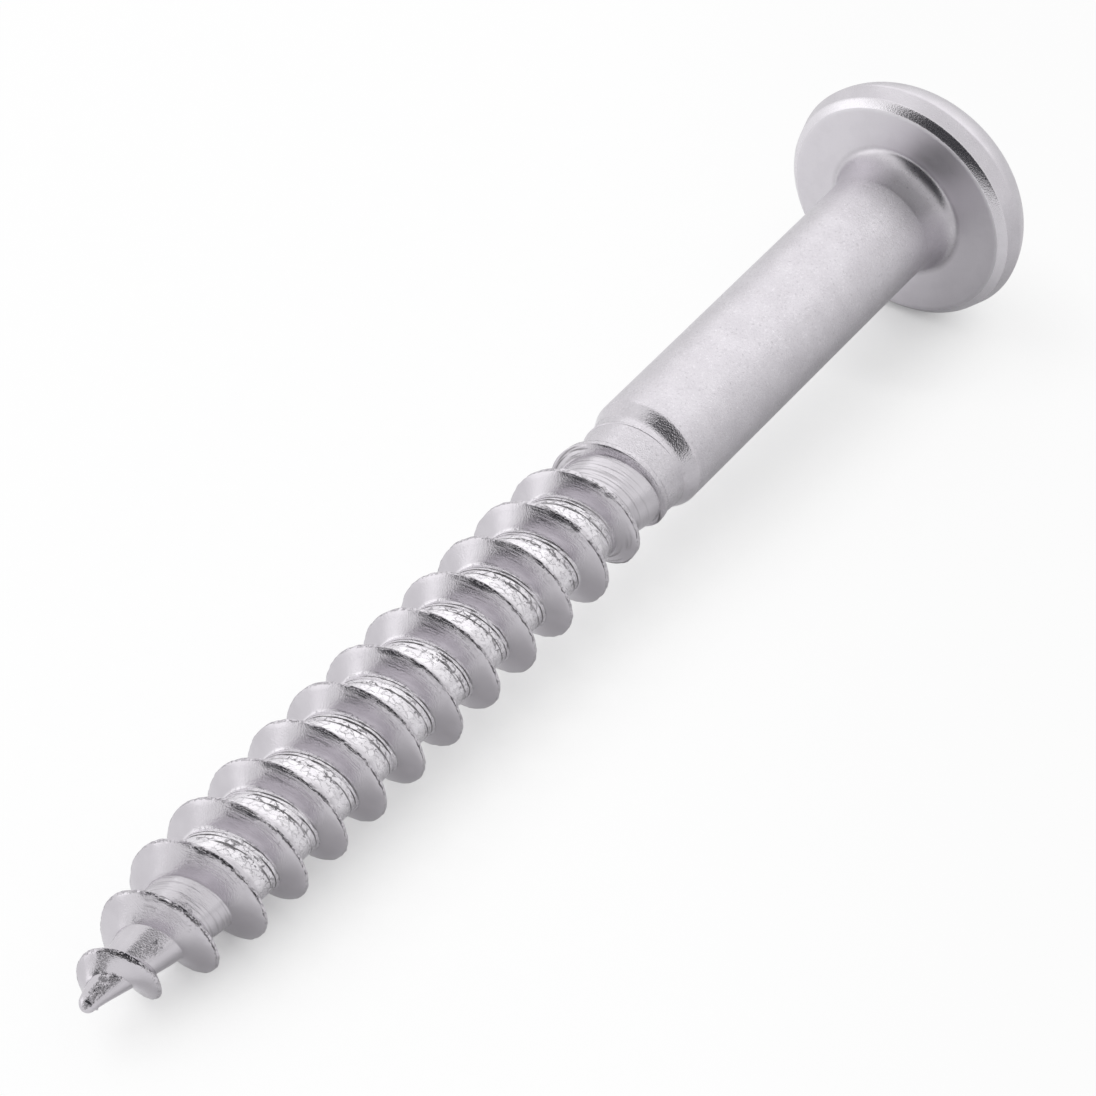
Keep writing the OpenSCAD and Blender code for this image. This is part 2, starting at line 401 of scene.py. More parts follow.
def recess_outline(depth):
    """Radius of the cross recess at each angle, at a depth below the top of the dome."""
    fall = depth / RECESS_DEPTH
    end = RECESS_R + (RECESS_FLOOR_R - RECESS_R) * fall
    middle = RECESS_CORE_R + (WING_HALF - RECESS_CORE_R) * fall
    side = WING_HALF / np.maximum(np.sin(wing_angle), LEAST_SINE)
    return np.maximum(middle, np.minimum(end, side))


MOUTH_TRIES = 12
mouth_depth = np.zeros_like(ring_angles)
for _ in range(MOUTH_TRIES):
    mouth_depth = dome_drop(recess_outline(mouth_depth))
mouth = recess_outline(mouth_depth)
crown_start = DOME_CORNER_X + DOME_CORNER_R * math.cos(corner_end)
MOUTH_ROUND = 0.09
MOUTH_SHARES = (0.35, 0.7, 1.0)
CROWN_RINGS = 13
WALL_RINGS = 11
FLOOR_SHARES = (0.7, 0.4)
for t in np.linspace(0, 1, CROWN_RINGS)[1:]:
    r = crown_start + (mouth + MOUTH_ROUND - crown_start) * t
    ring(r, DOME_TOP - dome_drop(r), DOME_FINISH)
for t in MOUTH_SHARES:
    depth = mouth_depth + MOUTH_ROUND * (1 - math.sqrt(1 - t * t))
    ring(mouth + MOUTH_ROUND * (1 - t), DOME_TOP - depth, DOME_FINISH)
for t in np.linspace(0, 1, WALL_RINGS)[1:]:
    depth = mouth_depth + MOUTH_ROUND + (RECESS_DEPTH - mouth_depth - MOUTH_ROUND) * t
    ring(recess_outline(depth), DOME_TOP - depth, DOME_FINISH)
floor_outline = recess_outline(RECESS_DEPTH)
for t in FLOOR_SHARES:
    ring(floor_outline * t, DOME_TOP - RECESS_DEPTH, DOME_FINISH)

turned = np.concatenate([
    np.stack([r * np.cos(ring_angles), r * np.sin(ring_angles), s], -1) for r, s, finish in rings
])
tip_lean = float(bend(0.0))
apex = np.array([[tip_lean * math.cos(BEND_ANGLE), tip_lean * math.sin(BEND_ANGLE), 0.0]])
centre = np.array([[0.0, 0.0, DOME_TOP - RECESS_DEPTH]])
crease_r = float(core_radius(np.array([crease_s]))[0])
crease_angles = ring_angles[1:]
crease_ring = np.stack([
    crease_r * np.cos(crease_angles),
    crease_r * np.sin(crease_angles),
    np.full_like(crease_angles, crease_s),
], -1)
verts = np.concatenate([ribbon.reshape(-1, 3), turned, apex, centre, crease_ring])
turned_from = ribbon_count * ROW_COUNT
apex_at = turned_from + len(turned)
centre_at = apex_at + 1
crease_from = centre_at + 1

# Faces of the thread, closed at the point
faces = []
for step in range(grid_steps):
    for row in range(ROW_COUNT):
        near = (ribbon_at(step, row), ribbon_at(step + 1, row))
        far = (ribbon_at(step + 1, row + 1), ribbon_at(step, row + 1))
        faces.append(near + far)
for step in range(STEPS):
    faces.append((apex_at, ribbon_at(step + 1, 0), ribbon_at(step, 0)))
for row in range(ROW_COUNT):
    faces.append((apex_at, ribbon_at(0, row), ribbon_at(0, row + 1)))

# The last turn under the shoulder: its upper edge is the crease, one vertex for each angle
end_vertex = ribbon_at(grid_steps + STEPS, 0)


def crease_at(step):
    """Vertex on the crease at a step of the last turn."""
    if step in (0, STEPS):
        return end_vertex
    return crease_from + step - 1


def last_turn_at(step, row):
    """Vertex of the last turn, which ends in one vertex and has the crease as its upper edge."""
    if step == STEPS:
        return end_vertex
    if row == ROW_COUNT:
        return crease_at(step)
    return ribbon_at(grid_steps + step, row)


for step in range(STEPS):
    for row in range(ROW_COUNT):
        near = (last_turn_at(step, row), last_turn_at(step + 1, row))
        far = (last_turn_at(step + 1, row + 1), last_turn_at(step, row + 1))
        face = tuple(dict.fromkeys(near + far))
        if len(face) > 2:
            faces.append(face)


def turned_at(number, step):
    """Vertex of a ring of the turned forms; ring -1 is the crease."""
    if number < 0:
        return crease_at(step % STEPS)
    return turned_from + number * STEPS + step % STEPS


last_ring = len(rings) - 1
for number in range(-1, last_ring):
    for step in range(STEPS):
        near = (turned_at(number, step), turned_at(number, step + 1))
        far = (turned_at(number + 1, step + 1), turned_at(number + 1, step))
        faces.append(near + far)
for step in range(STEPS):
    faces.append((turned_at(last_ring, step), turned_at(last_ring, step + 1), centre_at))

# Place in the frame, from the mounts of the record
mounts = {mount["name"]: mount for mount in frame["record"]["mounts"]}
axis = -Vector(mounts["shank"]["axis"]).normalized()
shank_place = Vector(mounts["shank"]["pos_m"])
face_place = Vector(mounts["bearing_face"]["pos_m"])
face_on_axis = shank_place + axis * (face_place - shank_place).dot(axis)
point_place = face_on_axis - axis * SCREW_L * MM
level = Vector((0.0, 1.0, 0.0))
down = level.cross(axis)
to_frame = np.array([down, level, axis])
placed = np.array(point_place) + MM * verts @ to_frame
placed = np.clip(placed, cad_box[0], cad_box[1])

# Masks for the material, one number for each vertex: first the thread, then everything else
front_flank = (row_side < 0) & (row_part == FLANK)
STREAK_BLEND = 0.5
RIDGE_STREAKS = (34.6, 37.2)
ROOT_STREAKS = (33.2, 36.0)
POINT_STREAKS = (5.2, 7.4)
ROOT_STREAK_SHARE = 0.4
POINT_STREAK_SHARE = 0.25
# Painted dark reflection: angles, blend and places of the dark specks and streaks on the front flanks where
# they face the camera
FLANK_SHADE_ANGLES = (-33.0, 20.0)
FLANK_SHADE_BLEND = 9.0
FLANK_SHADE_PLACES = (3.4, 37.0)
WORN_ROOT_PLACES = (3.4, 5.4)
WORN_ROOT_ANGLES = (-4.0, 18.0)
WORN_ROOT_BLEND = 22.0
WORN_ROOT_SHARE = 0.5
WORN_ROOT_NOISE = (24.0, 2.2, 0.0)
# Angles round the screw where a highlight is painted along the foot of the flank
FOOT_HIGHLIGHT_ANGLES = (-100.0, 0.0)
FOOT_HIGHLIGHT_BLEND = 25.0
# Painted shade on the crest line: angles round the screw where it is darkest, and the share of the real line
# kept elsewhere
CREST_SHADE_ANGLES = (-14.0, 48.0)
CREST_SHADE_BLEND = 16.0
CREST_LINE_REST = 0.25
# Mask of the painted dark reflection on the camera-facing front flanks
flank_shade = window(side_angle, *FLANK_SHADE_ANGLES, FLANK_SHADE_BLEND) * front_flank
flank_shade = flank_shade * window(places, *FLANK_SHADE_PLACES, STREAK_BLEND)
worn_root = window(side_angle, *WORN_ROOT_ANGLES, WORN_ROOT_BLEND)
worn_root = worn_root * window(places, *WORN_ROOT_PLACES, STREAK_BLEND)
worn_root = worn_root * ease(WORN_ROOT_SHARE + thread_noise(WORN_ROOT_NOISE, places))
specked = np.maximum(fold, worn_root * (row_part == ROOT))
crest_shade_side = window(side_angle, *CREST_SHADE_ANGLES, CREST_SHADE_BLEND)
crest_mark_and_shade = (CREST_LINE_REST + (1 - CREST_LINE_REST) * crest_shade_side) * full_turn * (1 - first_turn)
first_lip = window(side_angle, *LIP_ANGLES, LIP_BLEND) * first_turn * ease(places / POINT_R - 1)
crest_mark_and_shade = np.maximum(crest_mark_and_shade, first_lip)
streak = window(places, *RIDGE_STREAKS, STREAK_BLEND) * front_flank
root_streak = ROOT_STREAK_SHARE * window(places, *ROOT_STREAKS, STREAK_BLEND)
root_streak = root_streak + POINT_STREAK_SHARE * window(places, *POINT_STREAKS, STREAK_BLEND)
streak = np.maximum(streak, root_streak * (row_part == ROOT))
GRAIN_BLEND_FROM = SHOULDER_START - 3.0
GRAIN_BLEND_L = 2.5
grain_share = ease((places - GRAIN_BLEND_FROM) / GRAIN_BLEND_L)
extra = len(verts) - turned_from
none = np.zeros(extra)


def finish_values(number):
    """One value of the finish for each vertex of the thread, and for each vertex of the rest."""
    thread_values = THREAD_FINISH[number] + (SHANK_FINISH[number] - THREAD_FINISH[number]) * grain_share
    rest_values = np.full(extra, SHANK_FINISH[number])
    ring_values = np.repeat([finish[number] for r, s, finish in rings], STEPS)
    rest_values[:len(ring_values)] = ring_values
    return thread_values, rest_values


thread_pale, rest_pale = finish_values(PALENESS)
thread_pale = np.maximum(thread_pale + front_flank * (FLANK_PALENESS - thread_pale), zone * root_row)
masks = {
    "root": (zone * root_row, none),
    "flank": ((row_part == FLANK) * full_turn * zone, none),
    # the crest line, darkened on the camera side as painted shade
    "crest_mark_and_shade": (crest_mark_and_shade, none),
    # the side round the screw where a highlight is painted along the flank's foot
    "foot": (window(side_angle, *FOOT_HIGHLIGHT_ANGLES, FOOT_HIGHLIGHT_BLEND) * zone + 0 * spots, none),
    "turn": (full_turn, none),
    # painted dark reflection on the camera-facing front flanks
    "flank_shade": (flank_shade, none),
    "fold": (specked, none),
    "streak": (streak, none),
    "lap_lean": (LAP_LEAN * np.sin(np.radians(side_angle)), none),
    "grain": finish_values(GRAIN),
    "rough": finish_values(ROUGHNESS),
    "sand": finish_values(SANDINESS),
    "pale": (thread_pale, rest_pale),
}
MEAN_R = 2.5
around_mm = np.concatenate([(turns * TURN * MEAN_R + 0 * spots).ravel(), none])
across_mm = np.concatenate([spots.ravel(), none])

used = np.unique(np.concatenate([np.array(face) for face in faces]))
new_number = np.full(len(verts), -1)
new_number[used] = np.arange(len(used))
mesh = bpy.data.meshes.new("screw_body")
mesh.from_pydata(placed[used].tolist(), [], [tuple(new_number[list(face)].tolist()) for face in faces])
mesh.validate()
for name, (thread_values, rest_values) in masks.items():
    layer = mesh.attributes.new(name, "FLOAT", "POINT")
    values = np.concatenate([thread_values.ravel(), rest_values])
    layer.data.foreach_set("value", values[used].astype(np.float32))

# Unrolled thread in millimetres: the way around, and the way from the middle of the crest
CORNERS = 4
corner_vertex = np.empty(len(mesh.loops), dtype=np.int32)
mesh.loops.foreach_get("vertex_index", corner_vertex)
corner_uv = np.stack([around_mm[used][corner_vertex], across_mm[used][corner_vertex]], -1)
thread_corners = corner_uv[:CORNERS * grid_steps * ROW_COUNT].reshape(grid_steps, ROW_COUNT, CORNERS, 2)
thread_corners[:, -1, 2:, 0] -= TURN * MEAN_R
thread_corners[:, -1, 2:, 1] += PITCH
uv_layer = mesh.uv_layers.new(name="thread_mm")
uv_layer.data.foreach_set("uv", corner_uv.astype(np.float32).ravel())
SHARP_ANGLE = math.radians(50)
mesh.polygons.foreach_set("use_smooth", np.ones(len(mesh.polygons), dtype=bool))
mesh.set_sharp_from_angle(angle=SHARP_ANGLE)
mesh.update()
body = bpy.data.objects.new("screw_body", mesh)
bpy.context.scene.collection.objects.link(body)
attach(body, "root")
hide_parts("screw")


# Materials, with the sockets of the Mix node that are for colours
MIX_A = 6
MIX_B = 7
MIX_RESULT = 2


class Tree:
    """Adds nodes to a node tree and links them."""

    def __init__(self, tree):
        self.tree = tree
        self.tree.nodes.clear()

    def add(self, kind, inputs=None, **settings):
        node = self.tree.nodes.new(kind)
        for name, value in settings.items():
            setattr(node, name, value)
        for name, value in (inputs or {}).items():
            self.join(value, node.inputs[name])
        return node

    def join(self, value, socket):
        if isinstance(value, bpy.types.NodeSocket):
            self.tree.links.new(value, socket)
        else:
            socket.default_value = value

    def math(self, operation, a, b=0.0):
        return self.add("ShaderNodeMath", {0: a, 1: b}, operation=operation).outputs[0]

    def product(self, *values):
        total = values[0]
        for value in values[1:]:
            total = self.math("MULTIPLY", total, value)
        return total

    def largest(self, *values):
        total = values[0]
        for value in values[1:]:
            total = self.math("MAXIMUM", total, value)
        return total

    def total(self, *values):
        total = values[0]
        for value in values[1:]:
            total = self.math("ADD", total, value)
        return total

    def ramp(self, value, low, high, to_low=0.0, to_high=1.0):
        inputs = {"Value": value, "From Min": low, "From Max": high, "To Min": to_low, "To Max": to_high}
        return self.add("ShaderNodeMapRange", inputs, interpolation_type="SMOOTHSTEP").outputs[0]

    def mask(self, name):
        return self.add("ShaderNodeAttribute", attribute_name=name).outputs["Fac"]

    def scaled(self, vector, scale, shift=(0.0, 0.0, 0.0)):
        inputs = {"Vector": vector, "Scale": scale, "Location": shift}
        return self.add("ShaderNodeMapping", inputs).outputs[0]

    def noise(self, vector, scale, detail, roughness=0.5):
        inputs = {"Vector": vector, "Scale": scale, "Detail": detail, "Roughness": roughness}
        return self.add("ShaderNodeTexNoise", inputs)

    def mix(self, amount, a, b):
        node = self.add("ShaderNodeMix", {"Factor": amount}, data_type="RGBA")
        self.join(a, node.inputs[MIX_A])
        self.join(b, node.inputs[MIX_B])
        return node.outputs[MIX_RESULT]


STEEL_COLOUR = (0.590, 0.567, 0.601, 1.0)
STEEL_PALE = (0.760, 0.737, 0.773, 1.0)
# Paler steel for polish, also used for a painted highlight along the flank's foot
STEEL_POLISH_AND_HIGHLIGHT = (0.93, 0.91, 0.94, 1.0)
# Dark colour of the rolling marks, also used for the painted shade on the crests and flanks
MARK_AND_SHADE_COLOUR = (0.035, 0.031, 0.031, 1.0)
PER_MM = 1000.0

steel = bpy.data.materials.new("rolled_steel")
steel.use_nodes = True
t = Tree(steel.node_tree)
coords = t.add("ShaderNodeTexCoord")
mm_inputs = {0: coords.outputs["Object"], "Scale": PER_MM}
mm = t.add("ShaderNodeVectorMath", mm_inputs, operation="SCALE").outputs[0]
uv = t.add("ShaderNodeUVMap", uv_map="thread_mm").outputs[0]
across_uv = t.add("ShaderNodeSeparateXYZ", {0: uv}).outputs[1]
root_mask = t.mask("root")
flank_mask = t.mask("flank")
fold_mask = t.mask("fold")
flank_shade_mask = t.mask("flank_shade")
# Noise: marks in a millimetre, detail and roughness of the detail
GRAIN_NOISE = (15.0, 2.0, 0.6)
SAND_NOISE = (8.0, 3.0, 0.75)
SPECK_NOISE = (8.0, 4.0, 0.65)
CLOUD_NOISE = (0.9, 3.0)
BROKEN_NOISE = (2.2, 2.0)
ACROSS_SCALE = 0.15
NOISE_STEP = (17.3, 5.1)
grain = t.noise(mm, *GRAIN_NOISE).outputs[0]
sand = t.noise(mm, *SAND_NOISE).outputs[0]
specks = t.noise(mm, *SPECK_NOISE).outputs[0]
cloud = t.noise(mm, *CLOUD_NOISE).outputs[0]
broken = t.noise(mm, *BROKEN_NOISE).outputs[0]


def along_noise(number, scale):
    """Noise that runs along the thread and hardly changes across it; each number is another noise."""
    shift = (NOISE_STEP[0] * number, NOISE_STEP[1] * number, 0.0)
    place = t.scaled(uv, (scale, ACROSS_SCALE, 1.0), shift)
    return t.noise(place, 1.0, 1.0).outputs[0]


def unrolled_noise(scale, detail, roughness=0.5):
    """Noise on the unrolled thread, with its own scale along and across."""
    return t.noise(t.scaled(uv, scale), 1.0, detail, roughness).outputs[0]


# Lap lines beside the foot of the flank: distance from the foot in millimetres, strength and width
FOOT_AT = HALF_CREST + FLANK_W
LAP_LINES = ((0.08, 0.7, 0.045), (0.26, 0.85, 0.06), (0.56, 0.7, 0.06))
SLOW_SCALE = 0.5
SLOW_WANDER = 0.08
QUICK_SCALE = 2.4
QUICK_WANDER = 0.04
GATE_SCALE = 0.6
GATE_RAMP = (0.36, 0.5)
GATE_LEAST = 0.2
THICK_SCALE = 2.2
THICK_RAMP = (0.3, 0.65)
THIN_SHARE = 0.45
THICK_SHARE = 1.1
LINE_CORE = 0.3
FIRST_GATE = 3
FIRST_THICK = FIRST_GATE + len(LAP_LINES)
slow_wander = t.math("MULTIPLY", along_noise(1, SLOW_SCALE), SLOW_WANDER)
quick_wander = t.math("MULTIPLY", along_noise(2, QUICK_SCALE), QUICK_WANDER)
lean = t.total(slow_wander, quick_wander, t.mask("lap_lean"))
wander = t.math("SUBTRACT", lean, (SLOW_WANDER + QUICK_WANDER) / 2)
from_foot = t.math("SUBTRACT", t.math("SUBTRACT", wander, FOOT_AT), across_uv)
lines = []
for number, (place, strength, width) in enumerate(LAP_LINES):
    away = t.math("ABSOLUTE", t.math("SUBTRACT", from_foot, place))
    gate_noise = along_noise(FIRST_GATE + number, GATE_SCALE)
    gate = t.ramp(gate_noise, *GATE_RAMP, GATE_LEAST * strength, strength)
    thick_noise = along_noise(FIRST_THICK + number, THICK_SCALE)
    thick = t.ramp(thick_noise, *THICK_RAMP, THIN_SHARE * width, THICK_SHARE * width)
    lines.append(t.product(t.ramp(away, LINE_CORE * width, thick, 1.0, 0.0), gate, root_mask))
laps = t.largest(*lines)
# A painted highlight: a paler band along the foot of the flank, just above the first lap line, on one side
# of the screw only
FOOT_HIGHLIGHT_START = (-0.17, -0.07)
FOOT_HIGHLIGHT_END = (-0.01, 0.04)
foot_highlight = t.product(t.ramp(from_foot, *FOOT_HIGHLIGHT_START), t.ramp(from_foot, *FOOT_HIGHLIGHT_END, 1.0, 0.0))
foot_highlight = t.product(foot_highlight, t.mask("foot"))

# Cracked flakes of the roots, on the unrolled thread
WARP_NOISE = (3.5, 4.0, 0.7)
WARP_REACH = 0.42
FLAKE_STRETCH = (0.75, 1.35, 1.0)
FLAKE_SCALE = 2.9
CRACK_ZONE = (0.25, 0.5)
CRACK_ZONE_LEAST = 0.3
CRACK_NOISE = (4.2, 2.0)
CRACK_RAMP = (0.38, 0.66)
CRACK_WIDTHS = (0.02, 0.24)
BROKEN_RAMP = (0.42, 0.52)
CHIP_SCALE = (2.0, 5.5, 1.0)
CHIP_DETAIL = (3.0, 0.65)
CHIP_RAMP = (0.6, 0.68)
BRIGHT_RAMP = (0.45, 0.6)
warp = t.noise(mm, *WARP_NOISE).outputs["Color"]
warp = t.add("ShaderNodeVectorMath", {0: warp, "Scale": WARP_REACH}, operation="SCALE").outputs[0]
flake_place = t.add("ShaderNodeVectorMath", {0: uv, 1: warp}, operation="ADD").outputs[0]
flake_place = t.scaled(flake_place, FLAKE_STRETCH)
flake_inputs = {"Vector": flake_place, "Scale": FLAKE_SCALE}
crack = t.add(
    "ShaderNodeTexVoronoi", flake_inputs, voronoi_dimensions="2D", feature="DISTANCE_TO_EDGE",
).outputs["Distance"]
flake = t.add("ShaderNodeTexVoronoi", flake_inputs, voronoi_dimensions="2D").outputs["Color"]
flake_tone = t.add("ShaderNodeSeparateColor", {"Color": flake}).outputs[0]
crack_zone = t.product(t.ramp(from_foot, *CRACK_ZONE, CRACK_ZONE_LEAST, 1.0), root_mask)
crack_thick = t.ramp(t.noise(mm, *CRACK_NOISE).outputs[0], *CRACK_RAMP, *CRACK_WIDTHS)
crack_line = t.product(t.ramp(crack, 0.0, crack_thick, 1.0, 0.0), t.ramp(broken, *BROKEN_RAMP), crack_zone)
chips = t.product(t.ramp(unrolled_noise(CHIP_SCALE, *CHIP_DETAIL), *CHIP_RAMP), crack_zone)
bright_flakes = t.product(t.ramp(flake_tone, *BRIGHT_RAMP), root_mask)

# The ragged dark line along the crest, with painted shade that makes it darkest where the crest faces the
# camera, and its nicks
CREST_LINE_AT = 0.05
CREST_WANDER_NUMBER = FIRST_THICK + len(LAP_LINES)
CREST_THICK_NUMBER = CREST_WANDER_NUMBER + 1
CREST_WANDER_SCALE = 3.2
CREST_WANDER = 0.1
CREST_THICK_SCALE = 1.7
CREST_THICK_RAMP = (0.35, 0.65)
CREST_WIDTHS = (0.012, 0.06)
CREST_EDGE = (0.2, 0.5)
CREST_GAPS = (0.36, 0.48)
CREST_FLAT = (0.07, 0.12)
NICK_NOISE = (6.0, 3.0, 0.6)
NICK_RAMP = (0.5, 0.6)
MIDDLE = 0.5
crest_mark_and_shade_mask = t.mask("crest_mark_and_shade")
crest_noise = along_noise(CREST_WANDER_NUMBER, CREST_WANDER_SCALE)
crest_wander = t.math("MULTIPLY", t.math("SUBTRACT", crest_noise, MIDDLE), CREST_WANDER)
crest_away = t.math("ABSOLUTE", t.total(across_uv, crest_wander, CREST_LINE_AT))
crest_thick = t.ramp(along_noise(CREST_THICK_NUMBER, CREST_THICK_SCALE), *CREST_THICK_RAMP, *CREST_WIDTHS)
crest_line_and_shade = t.product(t.ramp(crest_away, 0.0, crest_thick, 1.0, 0.0), crest_mark_and_shade_mask)
crest_line_and_shade = t.product(t.ramp(crest_line_and_shade, *CREST_EDGE), t.ramp(specks, *CREST_GAPS))
crest_flat = t.ramp(t.math("ABSOLUTE", across_uv), *CREST_FLAT, 1.0, 0.0)
nicks = t.product(t.ramp(t.noise(mm, *NICK_NOISE).outputs[0], *NICK_RAMP), crest_flat, t.mask("turn"))

# Fine marks near the crests, painted dark reflection as specks and streaks on the front flanks where they
# face the camera, and specks in the fold of the point
UPPER_FLANK = (-0.4, -0.12)
MARK_SCALE = (14.0, 1.6, 1.0)
MARK_DETAIL = 2.0
FLANK_SHADE_STREAK_SCALE = (0.8, 15.0, 1.0)
FLANK_SHADE_DETAIL = (3.0, 0.6)
FLANK_SHADE_STREAK_RAMP = (0.46, 0.66)
FLANK_SHADE_SPECK_NOISE = (10.0, 3.0, 0.6)
FLANK_SHADE_SPECK_RAMP = (0.56, 0.68)
STREAK_SCALE = (0.35, 9.0, 1.0)
STREAK_DETAIL = 3.0
STREAK_RAMP = (0.47, 0.66)
FOLD_RAMP = (0.46, 0.6)
SAND_DARK_RAMP = (0.56, 0.74)
SAND_LIGHT_RAMP = (0.44, 0.28)
upper_flank = t.ramp(from_foot, *UPPER_FLANK, 1.0, 0.0)
marks = t.product(unrolled_noise(MARK_SCALE, MARK_DETAIL), flank_mask, upper_flank)
flank_shade_streaks = t.ramp(unrolled_noise(FLANK_SHADE_STREAK_SCALE, *FLANK_SHADE_DETAIL), *FLANK_SHADE_STREAK_RAMP)
flank_shade_streaks = t.product(flank_shade_streaks, flank_shade_mask, upper_flank)
flank_shade_specks = t.ramp(t.noise(mm, *FLANK_SHADE_SPECK_NOISE).outputs[0], *FLANK_SHADE_SPECK_RAMP)
flank_shade_specks = t.product(flank_shade_specks, flank_shade_mask, upper_flank)
streaks = t.product(t.ramp(unrolled_noise(STREAK_SCALE, STREAK_DETAIL), *STREAK_RAMP), t.mask("streak"))
fold_specks = t.product(t.ramp(specks, *FOLD_RAMP), fold_mask)
sand_mask = t.mask("sand")
sand_dark = t.product(t.ramp(sand, *SAND_DARK_RAMP), sand_mask)
sand_light = t.product(t.ramp(sand, *SAND_LIGHT_RAMP), sand_mask)

# Each mark: its mask, its height in millimetres and how dark it is; the crest line and the flank specks and
# streaks also carry painted shade
MARKS_AND_SHADE = (
    (laps, -0.02, 1.0),
    (crack_line, -0.02, 0.55),
    (chips, -0.015, 0.25),
    # crest line: a real ragged mark, darkened on the camera side as painted shade
    (crest_line_and_shade, -0.02, 0.75),
    (nicks, -0.02, 0.15),
    # painted dark reflection on the camera-facing front flanks, with a slight bump
    (flank_shade_streaks, -0.003, 0.12),
    (flank_shade_specks, 0.0, 0.35),
    (streaks, -0.01, 0.75),
    (fold_specks, -0.015, 0.32),
    (sand_dark, 0.0, 0.3),
)
FLAKE_STEP = 0.007
BROKEN_HEIGHT = 0.006
FINE_MARK_HEIGHT = 0.003
bumps = t.total(
    t.product(grain, t.mask("grain")),
    t.product(flake_tone, root_mask, FLAKE_STEP),
    t.product(broken, root_mask, BROKEN_HEIGHT),
    t.product(marks, FINE_MARK_HEIGHT),
    *[t.product(mark, height) for mark, height, darkness in MARKS_AND_SHADE if height],
)
bump = t.add("ShaderNodeBump", {"Height": bumps, "Distance": MM, "Strength": 1.0}).outputs[0]
# How dark each place is, from real marks and from painted shade
marks_and_shade = t.largest(*[t.product(mark, darkness) for mark, height, darkness in MARKS_AND_SHADE])

CLOUD_RAMP = (0.35, 0.7, -0.12, 0.12)
SAND_PALENESS = 0.8
FOOT_HIGHLIGHT_SHARE = 0.4
BRIGHT_SHARE = 0.45
ROOT_SHARE = 0.2
GRAIN_ROUGHNESS = (0.3, 0.7, -0.03, 0.03)
MARK_ROUGHNESS = 0.3
ROOT_ROUGHNESS = 0.08
pale = t.total(t.mask("pale"), t.ramp(cloud, *CLOUD_RAMP), t.product(sand_light, SAND_PALENESS))
# Paler steel: polish of the roots and bright flakes, and a painted highlight along the flank's foot
polish_and_highlight = t.largest(
    t.product(foot_highlight, FOOT_HIGHLIGHT_SHARE),
    t.product(bright_flakes, BRIGHT_SHARE),
    t.product(root_mask, ROOT_SHARE),
)
colour = t.mix(pale, STEEL_COLOUR, STEEL_PALE)
colour = t.mix(polish_and_highlight, colour, STEEL_POLISH_AND_HIGHLIGHT)
colour = t.mix(marks_and_shade, colour, MARK_AND_SHADE_COLOUR)
rough = t.total(
    t.mask("rough"),
    t.ramp(grain, *GRAIN_ROUGHNESS),
    t.product(marks_and_shade, MARK_ROUGHNESS),
    t.product(root_mask, ROOT_ROUGHNESS),
)
shader = t.add("ShaderNodeBsdfPrincipled", {
    "Base Color": colour,
    "Metallic": 1.0,
    "Roughness": rough,
    "Normal": bump,
})
t.add("ShaderNodeOutputMaterial", {"Surface": shader.outputs[0]})
mesh.materials.append(steel)

# Floor, with a painted shadow band beside the screw
FLOOR_HALF = 1.2
FLOOR_DROP = 0.00002
FLOOR_COLOUR = (0.93, 0.93, 0.935, 1.0)
FLOOR_PALE = (0.95, 0.95, 0.955, 1.0)
# Painted shadow: its grey, its direction across the floor away from the key softbox, and where it rises and
# falls in metres
FLOOR_PAINTED_SHADOW = (0.76, 0.76, 0.765, 1.0)
PAINTED_SHADOW_WAY = (0.570, -0.822, 0.0)
PAINTED_SHADOW_NEAR = (0.0, 0.02)
PAINTED_SHADOW_FAR = (0.03, 0.08)
FIBRE_NOISE = (900.0, 2.0)
FIBRE_RAMP = (0.3, 0.7)
FLOOR_WHITE = 0.91
CONTACT_WHITE = 0.05
CONTACT_DISTANCE = 0.006
CONTACT_SAMPLES = 2
CONTACT_RAMP = (0.1, 0.65)
FLOOR_WHITE_IN_STEEL = 0.1
WHITE = (1.0, 1.0, 1.0, 1.0)
floor_mesh = bpy.data.meshes.new("floor")
floor_mesh.from_pydata(
    [
        (-FLOOR_HALF, -FLOOR_HALF, -FLOOR_DROP),
        (FLOOR_HALF, -FLOOR_HALF, -FLOOR_DROP),
        (FLOOR_HALF, FLOOR_HALF, -FLOOR_DROP),
        (-FLOOR_HALF, FLOOR_HALF, -FLOOR_DROP),
    ],
    [],
    [(0, 1, 2, 3)],
)
floor = bpy.data.objects.new("floor", floor_mesh)
bpy.context.scene.collection.objects.link(floor)
paper = bpy.data.materials.new("floor_paper")
paper.use_nodes = True
t = Tree(paper.node_tree)
coords = t.add("ShaderNodeTexCoord")
fibre = t.noise(coords.outputs["Object"], *FIBRE_NOISE).outputs[0]
tone = t.mix(t.ramp(fibre, *FIBRE_RAMP), FLOOR_COLOUR, FLOOR_PALE)
# The painted shadow band, from the screw out to a few centimetres on one side; the steel mirrors it too
way_inputs = {0: coords.outputs["Object"], 1: PAINTED_SHADOW_WAY}
way = t.add("ShaderNodeVectorMath", way_inputs, operation="DOT_PRODUCT").outputs["Value"]
painted_shadow = t.product(t.ramp(way, *PAINTED_SHADOW_NEAR), t.ramp(way, *PAINTED_SHADOW_FAR, 1.0, 0.0))
tone = t.mix(painted_shadow, tone, FLOOR_PAINTED_SHADOW)
shader = t.add("ShaderNodeBsdfDiffuse", {"Color": tone})
path = t.add("ShaderNodeLightPath").outputs
mirrored = t.math("MAXIMUM", path["Is Glossy Ray"], path["Is Transmission Ray"])
contact = t.add("ShaderNodeAmbientOcclusion", {"Distance": CONTACT_DISTANCE}, samples=CONTACT_SAMPLES)
open_share = t.ramp(contact.outputs["AO"], *CONTACT_RAMP, CONTACT_WHITE, FLOOR_WHITE)
seen = t.product(path["Is Camera Ray"], open_share)
